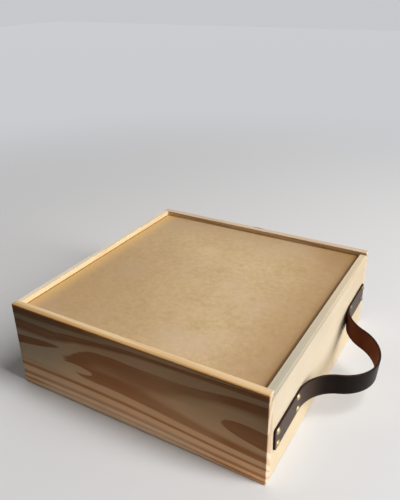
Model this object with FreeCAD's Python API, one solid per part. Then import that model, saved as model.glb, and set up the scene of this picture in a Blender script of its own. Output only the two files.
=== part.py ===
import FreeCAD, Part
import math
import os
from FreeCAD import Vector

# Wooden box with a sliding lid and a leather strap handle, in millimetres.
# X runs from the closed end to the strap end, Y from the front to the back, Z up.
# The origin is the middle of the underside.

# Pine carcass
box_length = 270.0
box_depth = 275.0
box_height = 93.0
long_board_thickness = 8.0
end_board_thickness = 6.0
board_round = 0.8

# Sliding lid: a thin panel in grooves, with a pine strip along its outer end
lid_thickness = 3.0
lid_recess = 5.2
groove_depth = 3.0
groove_play = 0.2
groove_end_play = 0.5
strip_width = 7.2
strip_rise = 2.8
strip_lap = 4.0
strip_end_play = 0.7
strip_round = 0.5

# Bottom panel, flush in a rebate under the boards
bottom_thickness = 3.0
rebate_width = 3.5
bottom_play = 0.2

# Leather strap: two flat tabs and a loop that stands off the end board, a little askew
strap_width = 22.0
strap_thickness = 2.0
strap_end_inset = 3.0
strap_rise = 0.45
strap_tab_length = 53.0
strap_reach = 50.7
strap_droop = 4.2
strap_level_run = 2.0
strap_tilt = 1.5
strap_corner_round = 2.0

# Round-headed brass nails, two pairs in each tab
nail_head_diameter = 6.5
nail_head_height = 1.5
nail_shank_diameter = 1.5
nail_length = 7.0
nail_point = 1.5
nail_end_inset = 5.2
nail_bend_gap = 0.5
nail_edge_inset = 4.2
nail_play = 0.05

# Fine steel pins: punched in and filled over at the corners, flush under the bottom
pin_head_diameter = 1.9
pin_head_height = 1.0
pin_shank_diameter = 1.2
pin_point = 1.2
pin_play = 0.05
corner_pin_length = 24.0
corner_pin_sink = 1.2
corner_pin_count = 3
corner_pin_inset = 14.0
bottom_pin_length = 15.0
bottom_pin_count = 4
bottom_pin_inset = 32.0

# Planes of the carcass
left = -box_length / 2
right = box_length / 2
front = -box_depth / 2
back = box_depth / 2
inner_left = left + end_board_thickness
inner_right = right - end_board_thickness
inner_front = front + long_board_thickness
inner_back = back - long_board_thickness

# Levels and edges of the lid
lid_top = box_height - lid_recess
lid_bottom = lid_top - lid_thickness
groove_top = lid_top + groove_play
groove_bottom = lid_bottom - groove_play
groove_left = inner_left - groove_depth
lid_left = groove_left + groove_end_play
lid_half_depth = inner_back + groove_depth - groove_end_play
strip_left = right - strip_width
strip_top = lid_top + strip_rise
strip_half_length = inner_back - strip_end_play
lid_right = strip_left + strip_lap

# The low end board reaches up to the underside of the groove
low_board_height = groove_bottom

# Strap levels and places
strap_middle = low_board_height / 2 + strap_rise
strap_end = inner_back - strap_end_inset
bend_start = strap_end - strap_tab_length
cut_margin = 1.0


def block(x0, x1, y0, y1, z0, z1):
    """Box between two corners."""
    return Part.makeBox(x1 - x0, y1 - y0, z1 - z0, Vector(x0, y0, z0))


def edges_on(shape, *planes):
    """Edges that lie in all the given (axis, value) planes."""
    found = []
    for edge in shape.Edges:
        bounds = edge.BoundBox
        low = (bounds.XMin, bounds.YMin, bounds.ZMin)
        high = (bounds.XMax, bounds.YMax, bounds.ZMax)
        if all(abs(low[a] - v) < 0.01 and abs(high[a] - v) < 0.01 for a, v in planes):
            found.append(edge)
    return found


def eased(shape, radius, *edge_planes):
    """Shape with the edges named by pairs of planes rounded over."""
    edges = []
    for planes in edge_planes:
        edges += edges_on(shape, *planes)
    return shape.makeFillet(radius, edges)


def stud(head_diameter, head_height, shank_diameter, length, point, dome, at, direction):
    """Nail or pin: underside of the head at a place, shank along a direction."""
    shank = shank_diameter / 2
    head = head_diameter / 2
    outline = [
        Vector(0, 0, length),
        Vector(shank, 0, length - point),
        Vector(shank, 0, 0),
        Vector(head, 0, 0),
    ]
    edges = [Part.makeLine(a, b) for a, b in zip(outline, outline[1:])]
    crown = Vector(0, 0, -head_height)
    if dome:
        sphere = (head ** 2 + head_height ** 2) / (2 * head_height)
        half_angle = math.asin(head / sphere) / 2
        middle = Vector(sphere * math.sin(half_angle), 0,
                        sphere - head_height - sphere * math.cos(half_angle))
        edges.append(Part.Arc(outline[-1], middle, crown).toShape())
    else:
        rim = Vector(head, 0, -head_height)
        edges.append(Part.makeLine(outline[-1], rim))
        edges.append(Part.makeLine(rim, crown))
    edges.append(Part.makeLine(crown, outline[0]))
    solid = Part.Face(Part.Wire(edges)).revolve(Vector(), Vector(0, 0, 1), 360)
    turn = FreeCAD.Rotation(Vector(0, 0, 1), direction)
    solid.Placement = FreeCAD.Placement(at, turn)
    return solid


def tilted(shape):
    """Shape turned about the strap's middle, as the strap is nailed on."""
    shape.rotate(Vector(0, 0, strap_middle), Vector(1, 0, 0), strap_tilt)
    return shape


def nail(at, play=0.0):
    """Brass nail driven towards -X, or the hole that it leaves when play is given."""
    level = stud(nail_head_diameter + 2 * play, nail_head_height, nail_shank_diameter + 2 * play,
                 nail_length + play, nail_point, True, at, Vector(-1, 0, 0))
    return tilted(level)


def pin(at, direction, length, play=0.0):
    """Steel pin with the top of its head at a place, or its hole when play is given."""
    seat = at + direction * (pin_head_height + play)
    return stud(pin_head_diameter + 2 * play, pin_head_height + play, pin_shank_diameter + 2 * play,
                length - pin_head_height, pin_point, False, seat, direction)


def spread(low, high, count):
    """Evenly spaced values between two limits."""
    return [low + (high - low) * i / (count - 1) for i in range(count)]


def nail_places(side):
    """Places of the four nail heads of a level tab on one side, -1 near and +1 far."""
    row = strap_width / 2 - nail_edge_inset
    lengths = (strap_end - nail_end_inset, bend_start + nail_bend_gap + nail_head_diameter / 2)
    return [Vector(right + strap_thickness, side * y, strap_middle + z)
            for y in lengths for z in (-row, row)]


def corner_pin_places(end, side):
    """Sunk heads of one corner's pins: end -1 left or +1 right, side -1 front or +1 back."""
    x = end * (right - end_board_thickness / 2)
    top = low_board_height if end > 0 else box_height
    heights = spread(corner_pin_inset, top - corner_pin_inset, corner_pin_count)
    return [Vector(x, side * (back - corner_pin_sink), z) for z in heights]


def bottom_pin_places():
    """Heads of the pins along the four sides of the bottom panel."""
    x_line = inner_right + rebate_width / 2
    y_line = inner_back + rebate_width / 2
    x_row = spread(left + bottom_pin_inset, right - bottom_pin_inset, bottom_pin_count)
    y_row = spread(front + bottom_pin_inset, back - bottom_pin_inset, bottom_pin_count)
    places = [Vector(x, side * y_line, 0) for side in (-1, 1) for x in x_row]
    places += [Vector(side * x_line, y, 0) for side in (-1, 1) for y in y_row]
    return places


def drilled(shape, holes):
    """Shape with holes cut where they reach it."""
    reached = [hole for hole in holes if hole.BoundBox.intersect(shape.BoundBox)]
    return shape.cut(Part.makeCompound(reached))


def long_board(side):
    """Front (-1) or back (+1) board with its lid groove and bottom rebate."""
    outer = side * back
    inner = side * inner_back
    low, high = sorted((outer, inner))
    board = block(left, right, low, high, 0, box_height)
    board = eased(board, board_round,
                  ((1, outer), (2, box_height)), ((1, outer), (2, 0)),
                  ((1, outer), (0, left)), ((1, outer), (0, right)),
                  ((0, left), (2, box_height)), ((0, right), (2, box_height)))
    low, high = sorted((inner, inner + side * groove_depth))
    groove = block(groove_left, right + cut_margin, low, high, groove_bottom, groove_top)
    low, high = sorted((inner, inner + side * rebate_width))
    rebate = block(inner_left - rebate_width, inner_right + rebate_width, low, high,
                   -cut_margin, bottom_thickness)
    return board.cut([groove, rebate])


def left_end():
    """Full-height end board, grooved for the lid's inner end."""
    board = block(left, inner_left, inner_front, inner_back, 0, box_height)
    board = eased(board, board_round, ((0, left), (2, box_height)), ((0, left), (2, 0)))
    groove = block(groove_left, inner_left, inner_front, inner_back, groove_bottom, groove_top)
    rebate = block(inner_left - rebate_width, inner_left, inner_front, inner_back, 0, bottom_thickness)
    return board.cut([groove, rebate])


def right_end():
    """Low end board that the lid slides over and the strap is nailed to."""
    board = block(inner_right, right, inner_front, inner_back, 0, low_board_height)
    board = eased(board, board_round, ((0, right), (2, 0)))
    rebate = block(inner_right, inner_right + rebate_width, inner_front, inner_back, 0, bottom_thickness)
    return board.cut(rebate)


def bottom():
    """Bottom panel in the rebate."""
    x = inner_right + rebate_width - bottom_play
    y = inner_back + rebate_width - bottom_play
    return block(-x, x, -y, y, 0, bottom_thickness)


def lid_sheet():
    """Lid panel, from the left groove to its lap in the strip."""
    return block(lid_left, lid_right, -lid_half_depth, lid_half_depth, lid_bottom, lid_top)


def lid_strip():
    """End strip, rebated underneath for the panel, with tongues that fill the ends of the grooves."""
    half = strip_half_length
    strip = block(strip_left, right, -half, half, lid_bottom, strip_top)
    strip = eased(strip, strip_round,
                  ((0, strip_left), (2, strip_top)), ((0, right), (2, strip_top)),
                  ((1, -half), (2, strip_top)), ((1, half), (2, strip_top)))
    lap = block(strip_left, lid_right, -half, half, lid_bottom, lid_top)
    tongues = block(lid_right, right, -lid_half_depth, lid_half_depth, lid_bottom, lid_top)
    return strip.cut(lap).fuse(tongues).removeSplitter()


def strap_side(offset, radius, turn, loop_middle):
    """Five edges of one face of the strap in plan, at an offset from the end board."""
    x = right + offset
    bend_radius = radius + strap_thickness / 2 - offset
    loop_radius = radius - strap_thickness / 2 + offset
    bend_middle = right + strap_thickness / 2 + radius

    def on_bend(angle, side):
        return Vector(bend_middle - bend_radius * math.cos(angle),
                      side * (bend_start - bend_radius * math.sin(angle)), 0)

    def on_loop(angle):
        return Vector(loop_middle + loop_radius * math.cos(angle), loop_radius * math.sin(angle), 0)

    near_bend = Part.Arc(on_bend(0, -1), on_bend(turn / 2, -1), on_bend(turn, -1))
    loop = Part.Arc(on_bend(turn, -1), on_loop(0), on_bend(turn, 1))
    far_bend = Part.Arc(on_bend(turn, 1), on_bend(turn / 2, 1), on_bend(0, 1))
    return [
        Part.makeLine(Vector(x, -strap_end, 0), Vector(x, -bend_start, 0)),
        near_bend.toShape(),
        loop.toShape(),
        far_bend.toShape(),
        Part.makeLine(Vector(x, bend_start, 0), Vector(x, strap_end, 0)),
    ]


def strap():
    """Leather strap: its plan swept down, met with its drooping side view."""
    # Two tangent arcs of one radius lead from the tab to the top of the loop
    lift = strap_reach - strap_thickness
    turn = 2 * math.atan2(lift, bend_start)
    radius = (bend_start ** 2 + lift ** 2) / (4 * lift)
    loop_middle = right + strap_reach - strap_thickness / 2 - radius
    inside = strap_side(0, radius, turn, loop_middle)
    outside = strap_side(strap_thickness, radius, turn, loop_middle)
    ends = [
        Part.makeLine(Vector(right, side * strap_end, 0),
                      Vector(right + strap_thickness, side * strap_end, 0))
        for side in (-1, 1)
    ]
    outline = Part.Wire(Part.__sortEdges__(inside + outside + ends))
    top = strap_middle + strap_width / 2
    base = strap_middle - strap_width / 2
    low = base - strap_droop - cut_margin
    plan = Part.Face(outline).extrude(Vector(0, 0, top + cut_margin - low))
    plan.translate(Vector(0, 0, low))

    # Side view: level on and just off the tabs, then an arc that falls by the droop at the loop
    start = right + strap_thickness + strap_level_run
    run = lift - strap_level_run
    arc_radius = (run ** 2 + strap_droop ** 2) / (2 * strap_droop)
    sweep = math.asin((run + cut_margin) / arc_radius)

    def on_fall(level, angle):
        return Vector(start + arc_radius * math.sin(angle), 0,
                      level - arc_radius * (1 - math.cos(angle)))

    fall = [
        Part.makeLine(Vector(right - cut_margin, 0, base), Vector(right - cut_margin, 0, top)),
        Part.makeLine(Vector(right - cut_margin, 0, top), on_fall(top, 0)),
        Part.Arc(on_fall(top, 0), on_fall(top, sweep / 2), on_fall(top, sweep)).toShape(),
        Part.makeLine(on_fall(top, sweep), on_fall(base, sweep)),
        Part.Arc(on_fall(base, sweep), on_fall(base, sweep / 2), on_fall(base, 0)).toShape(),
        Part.makeLine(on_fall(base, 0), Vector(right - cut_margin, 0, base)),
    ]
    half = strap_end + cut_margin
    side_view = Part.Face(Part.Wire(fall)).extrude(Vector(0, 2 * half, 0))
    side_view.translate(Vector(0, -half, 0))
    leather = eased(plan.common(side_view), strap_corner_round,
                    ((1, -strap_end), (2, top)), ((1, -strap_end), (2, base)),
                    ((1, strap_end), (2, top)), ((1, strap_end), (2, base)))
    return tilted(leather)


# Fasteners, and the holes that they fill
nail_groups = {
    "near_strap_nails": [nail(p) for p in nail_places(-1)],
    "far_strap_nails": [nail(p) for p in nail_places(1)],
}
nail_holes = [nail(p, nail_play) for side in (-1, 1) for p in nail_places(side)]

corners = {
    "front_left_pins": (-1, -1),
    "front_right_pins": (1, -1),
    "back_left_pins": (-1, 1),
    "back_right_pins": (1, 1),
}
pin_groups = {}
corner_holes = []
for name, (end, side) in corners.items():
    inward = Vector(0, -side, 0)
    places = corner_pin_places(end, side)
    pin_groups[name] = [pin(p, inward, corner_pin_length) for p in places]
    corner_holes += [pin(p, inward, corner_pin_length, pin_play) for p in places]
up = Vector(0, 0, 1)
pin_groups["bottom_pins"] = [pin(p, up, bottom_pin_length) for p in bottom_pin_places()]
bottom_holes = [pin(p, up, bottom_pin_length, pin_play) for p in bottom_pin_places()]
pin_holes = corner_holes + bottom_holes

# Every piece under its name
pieces = {
    "front_board": drilled(long_board(-1), pin_holes),
    "back_board": drilled(long_board(1), pin_holes),
    "left_end_board": drilled(left_end(), pin_holes),
    "right_end_board": drilled(right_end(), pin_holes + nail_holes),
    "bottom_panel": drilled(bottom(), bottom_holes),
    "lid_panel": lid_sheet(),
    "lid_end_strip": lid_strip(),
    "handle_strap": drilled(strap(), nail_holes),
}
for name, group in {**nail_groups, **pin_groups}.items():
    pieces[name] = Part.makeCompound(group)

os.makedirs("parts", exist_ok=True)
for name, shape in pieces.items():
    shape.exportStep(f"parts/{name}.step")
    solids = shape.Solids
    valid = all(solid.isValid() for solid in solids)
    volume = sum(solid.Volume for solid in solids)
    print(f"{name}: {len(solids)} solids, valid {valid}, {volume:.1f} mm3")
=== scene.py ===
import math
import bpy
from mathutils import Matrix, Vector


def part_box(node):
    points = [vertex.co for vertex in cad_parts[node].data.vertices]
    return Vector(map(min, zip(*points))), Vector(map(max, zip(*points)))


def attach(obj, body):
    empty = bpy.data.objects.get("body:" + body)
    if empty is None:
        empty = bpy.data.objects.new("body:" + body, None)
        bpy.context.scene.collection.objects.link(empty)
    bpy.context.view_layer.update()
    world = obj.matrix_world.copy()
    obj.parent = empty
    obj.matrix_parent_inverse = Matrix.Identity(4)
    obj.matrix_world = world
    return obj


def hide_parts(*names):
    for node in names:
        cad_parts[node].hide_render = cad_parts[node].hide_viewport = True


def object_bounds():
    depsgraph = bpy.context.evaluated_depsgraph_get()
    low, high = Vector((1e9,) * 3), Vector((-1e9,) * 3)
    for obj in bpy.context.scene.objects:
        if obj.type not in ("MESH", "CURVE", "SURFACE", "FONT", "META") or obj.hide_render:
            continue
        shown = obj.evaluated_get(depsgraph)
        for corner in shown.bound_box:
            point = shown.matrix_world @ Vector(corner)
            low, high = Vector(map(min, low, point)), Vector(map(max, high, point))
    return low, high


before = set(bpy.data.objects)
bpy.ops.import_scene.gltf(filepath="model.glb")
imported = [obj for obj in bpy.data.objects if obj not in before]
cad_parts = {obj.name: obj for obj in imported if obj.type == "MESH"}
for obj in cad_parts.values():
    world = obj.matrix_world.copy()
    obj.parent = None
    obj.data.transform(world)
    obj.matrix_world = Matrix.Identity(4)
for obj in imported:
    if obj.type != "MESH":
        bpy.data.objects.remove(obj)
cad_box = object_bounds()

MM = 0.001

# Camera, at the photograph's viewing angle
camera_place = (0.25199, -0.43367, 0.37110)
camera_turn = (63.609, 0.922, 30.102)
camera_sensor = 36.0
camera_lens = 39.541

# Light: a tall soft key like a window on the right, in metres, degrees and watts, and weak fills
# from its own side and from behind the box
key_azimuth = 3.6
key_elevation = 40.0
key_distance = 2.5
key_width = 0.8
key_height = 3.4
key_power = 111.0
key_colour = (1.0, 0.98, 0.945)
fill_near_key = 0.22
fill_behind = 0.8
fill_away = 0.008
fill_colour = (1.0, 0.97, 0.93)
fill_behind_azimuth = 135.0
fill_behind_elevation = 12.0
fill_spread = (0.45, 1.0)

# Pale floor and backdrop. The floor throws light back on the box only from close by
backdrop_colour = (0.57, 0.58, 0.60)
floor_colour = (0.63, 0.635, 0.655)
floor_bounce = (0.98, 0.965, 0.94)
floor_strip_reach = (45.0, 10.0)
floor_pool_middle = 0.0
floor_pool_size = (240.0, 95.0)
floor_aside_reach = (110.0, 25.0)
floor_aside_share = 0.35
floor_front_blend = 10.0
floor_cloud_size = 400.0
floor_cloud_share = 0.04
floor_fade = (350.0, 1300.0)
floor_roughness = 0.9
floor_specular = 0.2
floor_half_size = 4.0
floor_drop = 0.2 * MM

# Pine: pale early wood and darker late wood of each board, tones of rims and edges, of end grain and
# marks, and of painted shade and painted bounce light
front_pine_colours = ((0.90, 0.56, 0.31), (0.515, 0.20, 0.071))
back_pine_colours = ((0.70, 0.50, 0.305), (0.45, 0.25, 0.108))
left_pine_colours = ((0.76, 0.575, 0.345), (0.58, 0.39, 0.18))
right_pine_colours = ((0.69, 0.60, 0.465), (0.70, 0.58, 0.40), (0.57, 0.45, 0.30))
strip_pine_colours = ((0.63, 0.52, 0.37), (0.46, 0.355, 0.23))
strip_cool = (0.405, 0.385, 0.315)
front_rim = ((0.50, 0.345, 0.165), (0.68, 0.50, 0.29))
front_edge = (0.50, 0.22, 0.045)
front_painted_bounce = (0.95, 0.74, 0.54)
back_rim = (0.58, 0.46, 0.33)
left_rim = (0.69, 0.61, 0.48)
strip_rim = (0.61, 0.505, 0.36)
pine_grey_and_shade = (0.62, 0.51, 0.355)
pine_end = (0.70, 0.62, 0.49)
pine_end_ring = (0.50, 0.34, 0.18)
pine_knot_and_shade = (0.13, 0.065, 0.03)
pine_worn = (0.82, 0.66, 0.46)
# Pine surface: sizes of its features in millimetres, gloss and relief
pine_fibre_size = 0.7
pine_streak_size = 3.5
pine_cloud_size = 60.0
pine_canal_size = 1.6
pine_canal_width = (0.13, 0.05)
pine_canal_share = 0.22
pine_rim_depth = (0.7, 0.2)
pine_end_depth = (1.0, 0.2)
pine_end_share = 0.85
pine_wear_reach = 1.0
pine_wear_share = 0.3
pine_roughness = 0.56
pine_specular = 0.06
pine_relief = 0.12
# Grain: how far the fibres' pattern is drawn out along the board
grain_along_x = (0.02, 1.0, 1.0)
grain_along_y = (1.0, 0.02, 1.0)
grain_of_strip = (1.0, 0.01, 1.0)
# Late wood: shares of a ring at which it starts, is full and begins to fade
plain_late = (0.45, 0.85, 0.96)
front_inner_late = (0.55, 0.9, 0.96)
front_outer_late = (0.32, 0.74, 0.86)
# Where boards are greyed by painted shade or cooled, from none to all, in millimetres
right_painted_shade_along = (10.0, 135.0)
right_painted_shade_share = 0.8
right_warm_height = (70.0, 0.0)
strip_cool_along = (110.0, -130.0)
strip_cool_share = 0.75
back_knot_size = (10.0, 3.2, 7.0)

# Fibreboard: its own tones, then the marks on the lid with their reach in millimetres and their shares:
# grime, painted shade beside the strip and in the joints, and painted bounce light beside the left board
mdf_tones = ((0.44, 0.303, 0.145), (0.62, 0.45, 0.262))
mdf_haze = (0.53, 0.395, 0.27)
mdf_fleck = (0.25, 0.14, 0.06)
mdf_grime_and_shade = (0.30, 0.165, 0.06)
mdf_painted_bounce = (0.64, 0.41, 0.15)
seam_painted_shade = (0.13, 0.058, 0.009)
lid_corner_grime = (190.0, 260.0)
lid_corner_share = 0.42
lid_left_grime = 110.0
lid_left_share = 0.10
lid_right_darkening = 85.0
lid_right_darkening_share = 0.62
lid_back_grime = 75.0
lid_back_share = 0.32
lid_strip_shade_reach = (16.0, 2.0)
lid_strip_shade_share = 0.42
lid_strip_shadow_reach = (4.8, 2.0)
lid_strip_shadow_share = 0.85
lid_joint_shade_reach = (2.4, 0.6)
lid_left_joint_share = 0.7
lid_back_joint_share = 0.5
lid_painted_bounce_reach = (22.0, 2.0)
lid_painted_bounce_share = 0.6

# Figure of the front board, in millimetres and square millimetres
front_pith = 45.0
front_middle = 50.5
front_tilt = 2.2 / 135.0
front_figure_low = -100.0
front_figure_high = 900.0
front_foot = (
    (-135, 138), (-78, 142), (-55, 156), (-15, 235), (25, 372), (65, 560), (105, 740), (135, 850),
)
front_lower = (
    (-135, -60), (-105, -60), (-85, -40), (-78, 0), (-61, 150), (-47, 225), (-15, 243), (5, 305),
    (35, 415), (65, 541), (85, 620), (135, 750),
)
front_upper = (
    (-135, -60), (-105, -60), (-87, -40), (-80, 0), (-70, 60), (-59, 180), (-47, 330), (-36, 410),
    (-20, 420), (5, 388), (35, 372), (65, 407), (85, 512), (105, 607), (135, 690),
)
front_head = (
    (-135, 65), (-105, 69), (-75, 100), (-55, 213), (-35, 333), (-15, 401), (5, 513), (25, 571),
    (65, 613), (105, 699), (135, 741),
)
front_levels = ((front_lower, -22, -14, 0), (front_upper, -4, 4, 0), (front_head, 20, 26, 3))
front_rings = (
    (-1500, 0.85), (-900, 1.0), (-640, 1.57), (-460, 1.72), (-280, 1.88), (0, 2.0), (555, 3.0),
    (1275, 4.0), (1790, 5.0), (2650, 6.0), (3550, 7.0),
)
front_upper_stretch = 0.92
front_upper_ring = 555.0
front_upper_squeeze = 0.74
front_upper_start = 5.0
front_level_rise = (-40.0, 60.0)
front_wave_axes = (0.25, 1.0, 0.6)
front_wave_size = 16.0
front_wave_shift = 2.0
front_wave_square = 60.0
front_fray_axes = (0.08, 1.0, 1.0)
front_fray_size = 2.2
front_fray_square = 70.0
front_inner_blend = 60.0
# Islands in the figure: middle, half sizes, slope and lift
front_islands = (
    ((-57.0, 44.3), (23.0, 5.2), 0.0, 330.0),
    ((-135.0, 53.8), (76.0, 6.2), 0.145, -380.0),
    ((138.0, 45.2), (53.0, 11.5), -0.11, -700.0),
    ((90.0, 59.0), (55.0, 13.0), 0.08, -190.0),
    ((58.0, 47.0), (48.0, 9.0), -0.03, -110.0),
    ((118.0, 39.0), (78.0, 11.0), -0.07, -200.0),
)
# Bands of late wood along the top: middle, half sizes and slope
front_bands = (
    ((-135.0, 74.4), (105.0, 4.4), 0.012),
    ((-135.0, 87.6), (125.0, 4.4), 0.014),
    ((-32.0, 81.4), (58.0, 2.6), 0.075),
    ((72.0, 86.8), (115.0, 2.4), 0.018),
)
front_band_depth = 2.0
front_band_share = 0.9
# Contrast of the front board's rings on its face, and its loss on the rim
front_contrast = 0.95
front_rim_loss = 0.5
# Where the front board is fainter, greyer (grey tone, and painted shade higher up), paler (rim tone, and
# painted bounce light on the low edge), worn or dim (painted shade), from none to all, in millimetres
front_faint_left = (-15.0, 50.0)
front_faint_right = (105.0, 80.0)
front_faint_share = 0.25
front_grey_and_shade_along = (-30.0, -110.0)
front_grey_and_shade_height = (20.0, 42.0)
front_rim_along = (0.0, 120.0)
front_rim_change = (3.2, 4.8)
front_face_depth = (0.3, 1.6)
front_edge_below_top = (2.2, 0.9)
front_edge_depth = (1.7, 1.0)
front_edge_share = 0.75
front_painted_bounce_height = (24.0, 2.0)
front_painted_bounce_left = (-125.0, -85.0)
front_painted_bounce_right = (105.0, 45.0)
front_painted_bounce_share = 0.5
front_shade_height = (66.0, 90.0)
front_shade_along = (60.0, -40.0)
front_shade_depth = (1.0, 0.3)
front_shade_share = 0.28

# Leather: its tones, and where they change, in millimetres off the board. The tab against the board is
# painted lighter as painted light and the loop darker as painted shade; the flesh side is painted lighter
# towards the tip, away from the shade by the board
leather_loop_painted_shade = (0.0115, 0.0072, 0.0058)
leather_tab_painted_light = (0.054, 0.034, 0.026)
leather_flesh_tones = ((0.074, 0.0155, 0.0045), (0.128, 0.031, 0.009))
leather_edge_tones = ((0.016, 0.008, 0.006), (0.034, 0.016, 0.010))
leather_lit_tab_reach = (16.0, 2.0)
leather_tip_light_reach = (24.0, 50.0)

# Metal: bright and dull tone, and roughness; the far nails' brass is a darker copy, as painted shade
brass_finish = ((0.58, 0.45, 0.26), (0.40, 0.295, 0.16), 0.55)
brass_shaded_finish = ((0.25, 0.195, 0.115), (0.14, 0.105, 0.06), 0.55)
steel_finish = ((0.56, 0.56, 0.57), (0.40, 0.40, 0.41), 0.38)

# Leather strap, in millimetres and degrees, bent as the photograph shows it
strap_width = 22.0
strap_thickness = 2.0
strap_end = 126.5
strap_middle = 42.75
strap_near_bend = 74.1
strap_far_bend = 77.2
strap_lift = 48.6
strap_droop = 4.2
strap_tilt = 1.5
strap_lean = 4.4
strap_sway = 1.6
strap_edge_round = 0.6
strap_corner_round = 2.0
strap_end_ease = 0.6
strap_seat = 0.05
# Sides of the strap, which are also the places of its materials
FACE = 0
FLESH = 1
EDGE = 2


class Term:
    """Output of a node. Plain arithmetic on it adds further math nodes."""

    def __init__(self, nodes, socket):
        self.nodes = nodes
        self.socket = socket

    def __add__(self, other):
        return self.nodes.math("ADD", self, other)

    def __sub__(self, other):
        return self.nodes.math("SUBTRACT", self, other)

    def __rsub__(self, other):
        return self.nodes.math("SUBTRACT", other, self)

    def __mul__(self, other):
        return self.nodes.math("MULTIPLY", self, other)

    def __truediv__(self, other):
        return self.nodes.math("DIVIDE", self, other)

    def __abs__(self):
        return self.nodes.math("ABSOLUTE", self)

    __radd__ = __add__
    __rmul__ = __mul__


class Nodes:
    """Writes one node tree, of a material or the world."""

    def __init__(self, tree):
        self.tree = tree

    def node(self, kind, **settings):
        made = self.tree.nodes.new(kind)
        for key, value in settings.items():
            setattr(made, key, value)
        return made

    def feed(self, socket, value):
        if isinstance(value, Term):
            value = value.socket
        if isinstance(value, bpy.types.NodeSocket):
            self.tree.links.new(value, socket)
        elif socket.type == "RGBA":
            socket.default_value = (*value, 1.0)
        else:
            socket.default_value = value

    def math(self, operation, *values):
        made = self.node("ShaderNodeMath", operation=operation)
        for socket, value in zip(made.inputs, values):
            self.feed(socket, value)
        return Term(self, made.outputs[0])

    def vector_math(self, operation, *values):
        made = self.node("ShaderNodeVectorMath", operation=operation)
        for socket, value in zip(made.inputs, values):
            self.feed(socket, value)
        return made

    def scaled(self, vector, factor):
        """Vector or colour times one number."""
        made = self.vector_math("SCALE", vector)
        self.feed(made.inputs["Scale"], factor)
        return made.outputs[0]

    def step(self, value, start, end):
        """Smooth step from 0 at start to 1 at end."""
        made = self.node("ShaderNodeMapRange", interpolation_type="SMOOTHSTEP")
        self.feed(made.inputs["Value"], value)
        self.feed(made.inputs["From Min"], start)
        self.feed(made.inputs["From Max"], end)
        return Term(self, made.outputs["Result"])

    def mix(self, amount, a, b):
        made = self.node("ShaderNodeMix", data_type="RGBA", clamp_factor=True)
        self.feed(made.inputs[0], amount)
        self.feed(made.inputs[6], a)
        self.feed(made.inputs[7], b)
        return made.outputs[2]

    def seen(self):
        """1 for rays from the camera, a mirror or glass, which see the pale surroundings."""
        path = self.node("ShaderNodeLightPath").outputs
        mirrored = self.math("MAXIMUM", path["Is Glossy Ray"], path["Is Transmission Ray"])
        return self.math("MAXIMUM", path["Is Camera Ray"], mirrored)


class Paint(Nodes):
    """A node material in the making. Places are in millimetres, in the shared frame."""

    def __init__(self, name):
        self.material = bpy.data.materials.new(name)
        self.material.use_nodes = True
        super().__init__(self.material.node_tree)
        self.skin = self.tree.nodes["Principled BSDF"].inputs
        metres = self.node("ShaderNodeTexCoord").outputs["Object"]
        self.place = self.scaled(metres, 1 / MM)
        parts = self.node("ShaderNodeSeparateXYZ")
        self.feed(parts.inputs[0], self.place)
        self.x, self.y, self.z = (Term(self, socket) for socket in parts.outputs)

    def stretched(self, factors):
        """Place times one factor per axis."""
        return self.vector_math("MULTIPLY", self.place, factors).outputs[0]

    def noise(self, at, size, detail=2.0, rough=0.5):
        """Soft noise about 0, with features of a size in millimetres."""
        made = self.node("ShaderNodeTexNoise")
        self.feed(made.inputs["Vector"], at)
        self.feed(made.inputs["Scale"], 1 / size)
        self.feed(made.inputs["Detail"], detail)
        self.feed(made.inputs["Roughness"], rough)
        return Term(self, made.outputs["Fac"]) - 0.5

    def cells(self, at, size):
        """Distance to the nearest of scattered points, in cell sizes."""
        made = self.node("ShaderNodeTexVoronoi")
        self.feed(made.inputs["Vector"], at)
        self.feed(made.inputs["Scale"], 1 / size)
        return Term(self, made.outputs["Distance"])

    def curve(self, value, points, low, high):
        """Smooth curve through points, whose results lie between low and high."""
        first = points[0][0]
        span = points[-1][0] - first
        made = self.node("ShaderNodeFloatCurve")
        line = made.mapping.curves[0]
        spots = [((a - first) / span, (b - low) / (high - low)) for a, b in points]
        for _ in spots[2:]:
            line.points.new(0.5, 0.5)
        for point, spot in zip(line.points, spots):
            point.location = spot
        made.mapping.update()
        self.feed(made.inputs["Value"], (value - first) / span)
        return Term(self, made.outputs["Value"]) * (high - low) + low

    def spot(self, places, centre, size):
        """1 at a centre, falling to 0 at the given half sizes, in millimetres."""
        total = 0.0
        for place, middle, half in zip(places, centre, size):
            part = (place - middle) / half
            total = part * part + total
        return self.step(total, 1.0, 0.0)

    def bump(self, height, depth):
        """Surface relief of a depth in millimetres."""
        made = self.node("ShaderNodeBump")
        self.feed(made.inputs["Height"], height)
        self.feed(made.inputs["Distance"], depth * MM)
        self.feed(self.skin["Normal"], made.outputs["Normal"])


def edge_wear(paint, node, reach):
    """1 on the edges of a box-shaped piece, 0 from a reach in millimetres inwards."""
    low, high = (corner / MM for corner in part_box(node))
    gaps = []
    for place, a, b in zip((paint.x, paint.y, paint.z), low, high):
        gaps.append(paint.math("MINIMUM", place - a, b - place))
    small = paint.math("MINIMUM", gaps[0], gaps[1])
    large = paint.math("MAXIMUM", gaps[0], gaps[1])
    second = paint.math("MAXIMUM", small, paint.math("MINIMUM", large, gaps[2]))
    ragged = second + paint.noise(paint.place, size=6.0) * reach
    return paint.step(ragged, reach, 0.0)


def late_wood(paint, rings, start, full, end):
    """Darkness of the late wood: it rises through each ring and falls again at the ring's edge."""
    phase = paint.math("FRACT", rings)
    return paint.step(phase, start, full) * paint.step(phase, 1.0, end)


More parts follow.
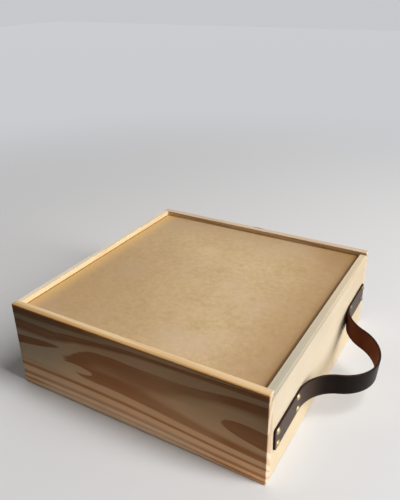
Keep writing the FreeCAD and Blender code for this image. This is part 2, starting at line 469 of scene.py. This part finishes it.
def pine_finish(paint, node, colours, rim, late, along, fibre_axes, contrast, stains_and_painted_light=(), grey_and_shade=None):
    """Colour, gloss and relief of pine, from the share of late wood at every place."""
    pale, deep = colours
    fibre_place = paint.stretched(fibre_axes)
    fibre = paint.noise(fibre_place, pine_fibre_size, detail=4.0, rough=0.6)
    streak = paint.noise(fibre_place, pine_streak_size, detail=3.0, rough=0.55)
    cloud = paint.noise(paint.place, pine_cloud_size)
    canal = paint.step(paint.cells(fibre_place, pine_canal_size), *pine_canal_width)
    # Greys the wood: a grey tone, and painted shade where it follows the light
    if grey_and_shade:
        pale = paint.mix(grey_and_shade, pale, pine_grey_and_shade)
        deep = paint.mix(grey_and_shade * 0.5, deep, pine_knot_and_shade)
    colour = paint.mix(late * contrast + streak * 0.35 + fibre * 0.25, pale, deep)
    low, high = (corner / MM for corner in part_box(node))
    on_rim = paint.step(paint.z, *(high.z - reach for reach in pine_rim_depth))
    rim_tone = paint.mix(late * contrast * 0.6 + streak * 0.5, rim, deep)
    colour = paint.mix(on_rim, colour, rim_tone)
    half = max(high.x - low.x, high.y - low.y) / 2
    on_end = paint.step(abs(along), *(half - reach for reach in pine_end_depth))
    end_tone = paint.mix(late * contrast * 1.3, pine_end, pine_end_ring)
    colour = paint.mix(on_end * pine_end_share, colour, end_tone)
    worn = edge_wear(paint, node, pine_wear_reach)
    colour = paint.mix(worn * pine_wear_share, colour, pine_worn)
    colour = paint.mix(canal * pine_canal_share, colour, deep)
    # Stains and knots, and on the front board painted shade and painted bounce light
    for amount, tone in stains_and_painted_light:
        colour = paint.mix(amount, colour, tone)
    mottle = cloud * 0.22 + fibre * 0.16 + 1.0
    paint.feed(paint.skin["Base Color"], paint.scaled(colour, mottle))
    paint.feed(paint.skin["Roughness"], pine_roughness + fibre * 0.3 + late * -0.06)
    paint.feed(paint.skin["Specular IOR Level"], pine_specular)
    paint.bump(fibre * 0.8 + late * 0.5 + canal * -0.6, pine_relief)
    return paint.material


def front_square(paint, depth, wave):
    """Squared distance from the heart of the front board's figure."""
    across = paint.z - (paint.x * front_tilt + front_middle) + wave * front_wave_shift
    above = paint.math("MAXIMUM", across, 0.0)
    across = across - above * (1 - front_upper_stretch)
    figure = paint.curve(paint.x, front_foot, front_figure_low, front_figure_high)
    for points, start, end, rise in front_levels:
        upward = paint.curve(paint.x, points, front_figure_low, front_figure_high)
        level = across - paint.step(paint.x, *front_level_rise) * rise
        figure = figure + (upward - figure) * paint.step(level, start, end)
    frayed = paint.noise(paint.stretched(front_fray_axes), front_fray_size, detail=3.0, rough=0.6)
    square = across * across - figure - depth * (2 * front_pith) + depth * depth
    square = square + wave * front_wave_square + frayed * front_fray_square
    # The rings above the figure stand further apart
    beyond = paint.math("MAXIMUM", square - front_upper_ring, 0.0)
    beyond = beyond * paint.step(above, 0.0, front_upper_start)
    return square - beyond * (1 - front_upper_squeeze)


def front_late(paint, square, depth, wave):
    """Late wood of the front board: its rings, and the bands along its top."""
    counts = [count for _, count in front_rings]
    rings = paint.curve(square, front_rings, min(counts), max(counts))
    fainter = paint.step(paint.x, *front_faint_left) * paint.step(paint.x, *front_faint_right)
    inner = late_wood(paint, rings, *front_inner_late) * (1 - fainter * front_faint_share)
    outer = late_wood(paint, rings, *front_outer_late)
    late = inner + (outer - inner) * paint.step(square, 0.0, front_inner_blend)
    for centre, size, slope in front_bands:
        level = paint.z - (paint.x - centre[0]) * slope + wave
        band = paint.spot((paint.x, level, depth), (*centre, 0.0), (*size, front_band_depth))
        late = paint.math("MAXIMUM", late, paint.step(band, 0.0, 0.5) * front_band_share)
    return late


def front_marks_and_painted_light(paint, depth):
    """Painted shade on the upper left, worn top edge and painted bounce light on the lower edge of the
    front board.
    """
    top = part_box("front_board")[1].z / MM
    # Painted shade: the upper left is darkened towards the knot tone
    shade = paint.step(paint.z, *front_shade_height) * paint.step(paint.x, *front_shade_along)
    shade = shade * paint.step(depth, *front_shade_depth)
    edge = paint.step(paint.z, *(top - reach for reach in front_edge_below_top))
    edge = edge * paint.step(depth, *front_edge_depth)
    # Painted bounce light: the lower edge is painted paler
    painted_bounce_edge = paint.step(paint.z, *front_painted_bounce_height) * paint.step(paint.x, *front_painted_bounce_left)
    painted_bounce_edge = painted_bounce_edge * paint.step(paint.x, *front_painted_bounce_right)
    return (
        (shade * front_shade_share, pine_knot_and_shade),
        (edge * front_edge_share, front_edge),
        (painted_bounce_edge * front_painted_bounce_share, front_painted_bounce),
    )


def front_pine():
    """Flat-sawn front board with its large pointed figure."""
    paint = Paint("pine_front")
    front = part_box("front_board")[0].y / MM
    wave = paint.noise(paint.stretched(front_wave_axes), front_wave_size)
    depth = paint.y - front
    square = front_square(paint, depth, wave)
    for centre, size, slope, lift in front_islands:
        level = paint.z - (paint.x - centre[0]) * slope
        square = square + paint.spot((paint.x, level), centre, size) * lift
    late = front_late(paint, square, depth, wave)
    contrast = front_contrast - paint.step(depth, *front_face_depth) * front_rim_loss
    # Grey tone on the left, stronger higher up as painted shade
    shade_higher_up = paint.step(paint.z, *front_grey_and_shade_height)
    grey_and_shade = paint.step(paint.x, *front_grey_and_shade_along) * (shade_higher_up * 0.5 + 0.3)
    paler = depth + wave * 3.0 + paint.step(paint.x, *front_rim_along) * 2.5
    rim = paint.mix(paint.step(paler, *front_rim_change), *front_rim)
    return pine_finish(paint, "front_board", front_pine_colours, rim, late, paint.x,
                       grain_along_x, contrast, front_marks_and_painted_light(paint, depth), grey_and_shade)


def board_rings(paint, along, depth, fibre_axes, middle, pith, lean, ring_width, wander):
    """Ring count of a board cut beside a pith that leans and wanders along its length."""
    wave = paint.noise(paint.stretched(fibre_axes), size=9.0) * wander
    swell = paint.noise(along * 0.006, size=1.0, detail=1.0) * wander
    across = paint.z - middle + wave * 3.0
    reach = pith - depth + along * lean + swell * 10.0
    radius = paint.math("SQRT", across * across + reach * reach)
    return radius / ring_width + wave * 0.5


def back_pine():
    """Back board, with a knot in its rim."""
    paint = Paint("pine_back")
    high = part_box("back_board")[1] / MM
    knot = paint.spot((paint.x, paint.y, paint.z), (0.0, high.y, high.z), back_knot_size)
    rings = board_rings(paint, paint.x, high.y - paint.y, grain_along_x,
                        middle=40.0, pith=48.0, lean=0.06, ring_width=4.2, wander=1.0)
    late = late_wood(paint, rings, *plain_late)
    return pine_finish(paint, "back_board", back_pine_colours, back_rim, late, paint.x,
                       grain_along_x, contrast=0.6, stains_and_painted_light=((knot, pine_knot_and_shade),))


def left_pine():
    """Board at the closed end."""
    paint = Paint("pine_left")
    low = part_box("left_end_board")[0] / MM
    rings = board_rings(paint, paint.y, paint.x - low.x, grain_along_y,
                        middle=58.0, pith=42.0, lean=-0.05, ring_width=4.6, wander=1.0)
    late = late_wood(paint, rings, *plain_late)
    return pine_finish(paint, "left_end_board", left_pine_colours, left_rim, late, paint.y,
                       grain_along_y, contrast=0.3)


def right_pine():
    """Low board at the strap's end, greyed towards the back by painted shade."""
    paint = Paint("pine_right")
    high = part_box("right_end_board")[1] / MM
    rings = board_rings(paint, paint.y, high.x - paint.x, grain_along_y,
                        middle=-60.0, pith=60.0, lean=0.0, ring_width=4.6, wander=0.8)
    late = late_wood(paint, rings, *plain_late)
    # Painted shade: darker and greyer towards the back
    grey_and_shade = paint.step(paint.y, *right_painted_shade_along) * right_painted_shade_share
    pale, warm, deep = right_pine_colours
    colours = (paint.mix(paint.step(paint.z, *right_warm_height), pale, warm), deep)
    return pine_finish(paint, "right_end_board", colours, pine_worn, late, paint.y,
                       grain_along_y, contrast=0.3, grey_and_shade=grey_and_shade)


def strip_pine():
    """Strip on the lid, with fine straight grain."""
    paint = Paint("pine_strip")
    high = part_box("lid_end_strip")[1] / MM
    rings = board_rings(paint, paint.y, high.x - paint.x, grain_of_strip,
                        middle=30.0, pith=50.0, lean=0.0, ring_width=2.2, wander=0.25)
    late = late_wood(paint, rings, *plain_late)
    cool = paint.step(paint.y, *strip_cool_along) * strip_cool_share
    return pine_finish(paint, "lid_end_strip", strip_pine_colours, strip_rim, late, paint.y,
                       grain_of_strip, contrast=0.4, stains_and_painted_light=((cool, strip_cool),))


def mdf(name, marks_and_painted_light=None):
    """Bare fibreboard: fine mottled fibres, with a few darker flecks and the given marks of use, painted
    shade and painted bounce light.
    """
    paint = Paint(name)
    cloud = paint.noise(paint.place, size=45.0, detail=3.0)
    mottle = paint.noise(paint.place, size=5.0, detail=4.0, rough=0.6)
    fibre = paint.noise(paint.place, size=0.9, detail=5.0, rough=0.7)
    fleck = paint.step(paint.cells(paint.place, size=7.0), 0.10, 0.04)
    haze = paint.step(paint.noise(paint.place, size=85.0), -0.02, 0.16)
    colour = paint.mix(cloud + mottle * 1.5 + 0.45, *mdf_tones)
    colour = paint.mix(haze * 0.5, colour, mdf_haze)
    colour = paint.mix(fleck * 0.35, colour, mdf_fleck)
    if marks_and_painted_light:
        for amount, tone in marks_and_painted_light(paint, cloud):
            colour = paint.mix(amount, colour, tone)
    paint.feed(paint.skin["Base Color"], paint.scaled(colour, fibre * 0.45 + 1.0))
    paint.feed(paint.skin["Roughness"], 0.5 + mottle * 0.25 + fibre * 0.2)
    paint.feed(paint.skin["Specular IOR Level"], 0.3)
    paint.bump(fibre + mottle * 0.5, depth=0.06)
    return paint.material


def lid_marks_and_painted_light(paint, cloud):
    """Handling grime on the lid and a darkening towards the strip, painted shade and a dark painted shadow
    beside the strip, painted shade in the joints at the left and back boards, and painted warm bounce
    light beside the left board.
    """
    low, high = (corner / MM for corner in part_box("lid_panel"))
    corner = paint.spot((paint.x, paint.y), (low.x, low.y), lid_corner_grime)
    left = paint.step(paint.x, low.x + lid_left_grime, low.x)
    # Darker towards the strip
    right = paint.step(paint.x, high.x - lid_right_darkening, high.x)
    back = paint.step(paint.y, high.y - lid_back_grime, high.y)
    # Painted shade on the lid beside the strip, which rises above it
    strip_shade = paint.step(paint.x, *(high.x - reach for reach in lid_strip_shade_reach))
    grime_and_shade = corner * lid_corner_share + left * lid_left_share + right * lid_right_darkening_share
    grime_and_shade = grime_and_shade + back * lid_back_share + strip_shade * lid_strip_shade_share
    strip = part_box("lid_end_strip")[0].x / MM
    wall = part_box("left_end_board")[1].x / MM
    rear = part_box("back_board")[0].y / MM
    # Painted warm bounce light on the lid beside the left board
    painted_bounce = paint.step(paint.x, *(wall + reach for reach in lid_painted_bounce_reach))
    # Painted shade in the joints where the lid meets the left and back boards
    left_joint = paint.step(paint.x, *(wall + reach for reach in lid_joint_shade_reach))
    back_joint = paint.step(paint.y, *(rear - reach for reach in lid_joint_shade_reach))
    # Dark painted shadow of the strip along its seam with the lid
    strip_shadow = paint.step(paint.x, *(strip - reach for reach in lid_strip_shadow_reach))
    return (
        (grime_and_shade * (cloud * 0.8 + 1.0), mdf_grime_and_shade),
        (painted_bounce * lid_painted_bounce_share, mdf_painted_bounce),
        (left_joint * lid_left_joint_share, seam_painted_shade),
        (back_joint * lid_back_joint_share, seam_painted_shade),
        (strip_shadow * lid_strip_shadow_share, seam_painted_shade),
    )


def leather_face():
    """Smooth dark grain side."""
    paint = Paint("leather_face")
    cloud = paint.noise(paint.place, size=18.0, detail=3.0)
    pebble = paint.cells(paint.place, size=0.8)
    crease = paint.noise(paint.place, size=2.2, detail=4.0, rough=0.65)
    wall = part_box("right_end_board")[1].x / MM
    # Painted light: the tab against the board is lighter, and the loop is darker as painted shade
    lit_tab = paint.step(paint.x, *(wall + reach for reach in leather_lit_tab_reach))
    colour = paint.mix(lit_tab, leather_loop_painted_shade, leather_tab_painted_light)
    paint.feed(paint.skin["Base Color"], paint.scaled(colour, crease * 0.5 + cloud * 0.8 + 1.0))
    paint.feed(paint.skin["Roughness"], 0.34 + crease * 0.2 + cloud * 0.15)
    paint.feed(paint.skin["Specular IOR Level"], 0.06)
    paint.bump(pebble * 0.5 + crease, depth=0.12)
    return paint.material


def leather_flesh():
    """Rough reddish brown inner side, painted lighter towards the tip as painted light."""
    paint = Paint("leather_flesh")
    cloud = paint.noise(paint.place, size=14.0, detail=3.0)
    nap = paint.noise(paint.place, size=0.8, detail=5.0, rough=0.7)
    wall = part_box("right_end_board")[1].x / MM
    # Painted light: brighter towards the tip, away from the shade by the board
    tip_painted_light = paint.step(paint.x, *(wall + reach for reach in leather_tip_light_reach))
    colour = paint.mix(cloud * 1.3 + 0.5, *leather_flesh_tones)
    paint.feed(paint.skin["Base Color"], paint.scaled(colour, nap * 0.7 + tip_painted_light * 0.5 + 1.0))
    paint.feed(paint.skin["Roughness"], 0.75 + nap * 0.2)
    paint.feed(paint.skin["Specular IOR Level"], 0.1)
    paint.bump(nap, depth=0.16)
    return paint.material


def leather_edge():
    """Cut edge, stained dark."""
    paint = Paint("leather_edge")
    grain = paint.noise(paint.place, size=1.1, detail=4.0, rough=0.6)
    colour = paint.mix(grain * 1.5 + 0.5, *leather_edge_tones)
    paint.feed(paint.skin["Base Color"], colour)
    paint.feed(paint.skin["Roughness"], 0.6 + grain * 0.25)
    paint.feed(paint.skin["Specular IOR Level"], 0.08)
    paint.bump(grain, depth=0.1)
    return paint.material


def metal(name, bright, dull, roughness):
    """Drawn or pressed metal with dull patches and fine scratches."""
    paint = Paint(name)
    patch = paint.noise(paint.place, size=2.4, detail=3.0)
    scratch = paint.noise(paint.stretched((1.0, 6.0, 1.0)), size=0.6, detail=3.0)
    paint.feed(paint.skin["Base Color"], paint.mix(patch * 1.6 + 0.4, bright, dull))
    paint.feed(paint.skin["Roughness"], roughness + patch * 0.25 + scratch * 0.2)
    paint.feed(paint.skin["Metallic"], 1.0)
    paint.bump(scratch, depth=0.02)
    return paint.material


def strap_half(bend):
    """Middle line of half a level strap, from its end to the tip: lift off the board, y and heading."""
    corner_steps = 8
    tab_steps = 24
    bend_steps = 36
    radius = (bend ** 2 + strap_lift ** 2) / (4 * strap_lift)
    turn = 2 * math.atan2(strap_lift, bend)
    half = []
    # Quick steps close the end round its corners, and longer ones follow along the flat tab
    for i in range(corner_steps):
        inset = strap_corner_round * (1 - math.cos(math.pi / 2 * i / corner_steps))
        half.append((0.0, strap_end - inset, 0.0))
    for i in range(tab_steps):
        inset = strap_corner_round + (strap_end - bend - strap_corner_round) * i / tab_steps
        half.append((0.0, strap_end - inset, 0.0))
    # Two arcs of one radius, first away from the board and then over the tip
    for i in range(bend_steps):
        angle = turn * i / bend_steps
        half.append((radius * (1 - math.cos(angle)), bend - radius * math.sin(angle), angle))
    for i in range(bend_steps + 1):
        angle = turn * (1 - i / bend_steps)
        half.append((strap_lift - radius * (1 - math.cos(angle)), radius * math.sin(angle), angle))
    return half


def strap_section(half_width, half_thickness):
    """Closed section of the strap: outward and upward place, and the side that it belongs to."""
    round_steps = 4
    face_steps = 8
    edge = min(strap_edge_round, half_thickness * 0.98)
    flat = half_width - edge
    points = []
    for side, kind in ((1, FACE), (-1, FLESH)):
        for i in range(face_steps + 1):
            points.append((side * half_thickness, side * flat * (2 * i / face_steps - 1), kind))
        for i in range(1, 2 * round_steps):
            angle = math.pi / 2 * i / round_steps
            depth = half_thickness - edge
            across = edge * math.cos(angle) + math.copysign(depth, math.cos(angle))
            points.append((side * across, side * (flat + edge * math.sin(angle)), EDGE))
    return points


def strap_ring(lift, y, heading):
    """Places of one section round the strap, in metres."""
    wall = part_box("right_end_board")[1].x / MM
    tilt = math.radians(strap_tilt)
    from_end = strap_end - abs(y)
    cut = max(0.0, strap_corner_round - from_end)
    narrow = strap_corner_round - math.sqrt(strap_corner_round ** 2 - cut ** 2)
    thin = max(0.0, strap_edge_round - from_end)
    ease = strap_edge_round - math.sqrt(strap_edge_round ** 2 - thin ** 2)
    share = lift / strap_lift
    lean = math.radians(strap_lean) * share
    middle_x = wall + strap_seat + strap_thickness / 2 + lift
    ring = []
    section = strap_section(strap_width / 2 - narrow, strap_thickness / 2 - ease * strap_end_ease)
    for outward, upward, _ in section:
        push = outward * math.cos(lean) + upward * math.sin(lean)
        rise = upward * math.cos(lean) - outward * math.sin(lean) - strap_droop * share ** 2
        along = y - push * math.sin(heading) + strap_sway * share ** 2
        place = Vector((middle_x + push * math.cos(heading),
                        along * math.cos(tilt) - rise * math.sin(tilt),
                        strap_middle + along * math.sin(tilt) + rise * math.cos(tilt)))
        ring.append(place * MM)
    return ring


def leather_strap():
    """Leather strap with eased edges, in place of its plain solid."""
    near = [(lift, -y, heading) for lift, y, heading in strap_half(strap_near_bend)]
    far = [(lift, y, -heading) for lift, y, heading in strap_half(strap_far_bend)]
    stations = near + far[-2::-1]
    vertices = [place for station in stations for place in strap_ring(*station)]
    kinds_round = [kind for _, _, kind in strap_section(strap_width / 2, strap_thickness / 2)]
    count = len(kinds_round)
    faces = []
    kinds = []
    for a in range(0, len(vertices) - count, count):
        b = a + count
        for j in range(count):
            k = (j + 1) % count
            faces.append((a + j, a + k, b + k, b + j))
            kinds.append(EDGE if EDGE in (kinds_round[j], kinds_round[k]) else kinds_round[j])
    faces.append(tuple(range(count - 1, -1, -1)))
    faces.append(tuple(range(len(vertices) - count, len(vertices))))
    kinds += [EDGE, EDGE]
    mesh = bpy.data.meshes.new("leather_strap")
    mesh.from_pydata(vertices, [], faces)
    for polygon, kind in zip(mesh.polygons, kinds):
        polygon.material_index = kind
        polygon.use_smooth = True
    mesh.update()
    for material in (leather_face(), leather_flesh(), leather_edge()):
        mesh.materials.append(material)
    strap = bpy.data.objects.new("leather_strap", mesh)
    bpy.context.scene.collection.objects.link(strap)
    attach(strap, "box")
    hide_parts("handle_strap")


def dress(node, material):
    """Give a carried-over piece its material."""
    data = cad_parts[node].data
    data.materials.clear()
    data.materials.append(material)


def add_floor():
    """Plain pale floor, which throws light on the box only from close by."""
    half = floor_half_size
    corners = [(-half, -half, -floor_drop), (half, -half, -floor_drop),
               (half, half, -floor_drop), (-half, half, -floor_drop)]
    mesh = bpy.data.meshes.new("floor")
    mesh.from_pydata(corners, [], [(0, 1, 2, 3)])
    floor = bpy.data.objects.new("floor", mesh)
    bpy.context.scene.collection.objects.link(floor)
    paint = Paint("floor")
    gaps = []
    for place, low, high in zip((paint.x, paint.y), *cad_box):
        over = paint.math("MAXIMUM", low / MM - place, place - high / MM)
        gaps.append(paint.math("MAXIMUM", over, 0.0))
    away = paint.math("SQRT", gaps[0] * gaps[0] + gaps[1] * gaps[1])
    front = cad_box[0].y / MM
    in_front = paint.step(paint.y, front + floor_front_blend, front - floor_front_blend)
    strip = paint.step(away, *floor_strip_reach) * in_front
    pool = paint.spot((paint.x, paint.y), (floor_pool_middle, front), floor_pool_size) * in_front
    aside = paint.step(away, *floor_aside_reach) * (1 - in_front) * floor_aside_share
    bounce = paint.scaled(floor_bounce, paint.math("MAXIMUM", strip, pool) + aside)
    tone = paint.noise(paint.place, floor_cloud_size) * floor_cloud_share + 1.0
    seen = paint.seen()
    colour = paint.mix(seen, bounce, paint.scaled(floor_colour, tone))
    # Far off, the floor passes into the backdrop
    radius = paint.math("SQRT", paint.x * paint.x + paint.y * paint.y)
    fade = paint.step(radius, *floor_fade) * seen
    paint.feed(paint.skin["Base Color"], paint.scaled(colour, 1 - fade))
    paint.feed(paint.skin["Emission Color"], backdrop_colour)
    paint.feed(paint.skin["Emission Strength"], fade)
    paint.feed(paint.skin["Roughness"], floor_roughness)
    paint.feed(paint.skin["Specular IOR Level"], floor_specular)
    mesh.materials.append(paint.material)


def direction_at(azimuth, elevation):
    """Direction towards an azimuth and elevation in degrees."""
    azimuth = math.radians(azimuth)
    elevation = math.radians(elevation)
    level = math.cos(elevation)
    return Vector((math.cos(azimuth) * level, math.sin(azimuth) * level, math.sin(elevation)))


def add_light():
    """Tall key light, and weak fills from the world."""
    key = bpy.data.lights.new("key", "AREA")
    key.energy = key_power
    key.color = key_colour
    key.shape = "RECTANGLE"
    key.size = key_width
    key.size_y = key_height
    lamp = bpy.data.objects.new("key", key)
    bpy.context.scene.collection.objects.link(lamp)
    toward = direction_at(key_azimuth, key_elevation)
    lamp.location = toward * key_distance
    lamp.rotation_euler = toward.to_track_quat("Z", "Y").to_euler()

    world = bpy.data.worlds.new("studio")
    bpy.context.scene.world = world
    world.use_nodes = True
    sky = Nodes(world.node_tree)
    background = sky.tree.nodes["Background"].inputs
    direction = sky.node("ShaderNodeTexCoord").outputs["Generated"]
    fill = fill_away
    behind = direction_at(fill_behind_azimuth, fill_behind_elevation)
    for middle, level in ((toward, fill_near_key), (behind, fill_behind)):
        facing = sky.vector_math("DOT_PRODUCT", direction, middle).outputs["Value"]
        fill = sky.step(facing, *fill_spread) * level + fill
    colour = sky.mix(sky.seen(), sky.scaled(fill_colour, fill), backdrop_colour)
    sky.feed(background["Color"], colour)


def add_camera():
    """Camera at the photograph's viewing angle."""
    data = bpy.data.cameras.new("camera")
    data.sensor_width = camera_sensor
    data.lens = camera_lens
    camera = bpy.data.objects.new("camera", data)
    bpy.context.scene.collection.objects.link(camera)
    camera.location = camera_place
    camera.rotation_euler = [math.radians(angle) for angle in camera_turn]
    bpy.context.scene.camera = camera


dress("front_board", front_pine())
dress("back_board", back_pine())
dress("left_end_board", left_pine())
dress("right_end_board", right_pine())
dress("lid_end_strip", strip_pine())
dress("lid_panel", mdf("mdf_lid", lid_marks_and_painted_light))
dress("bottom_panel", mdf("mdf_bottom"))
brass = metal("brass", *brass_finish)
# Far nails get a darker brass, as painted shade
shaded_brass = metal("brass_painted_shade", *brass_shaded_finish)
steel = metal("steel", *steel_finish)
dress("near_strap_nails", brass)
dress("far_strap_nails", shaded_brass)
for node in ("front_left_pins", "front_right_pins", "back_left_pins", "back_right_pins", "bottom_pins"):
    dress(node, steel)
leather_strap()
add_floor()
add_light()
add_camera()
bpy.context.scene.view_settings.view_transform = "Standard"
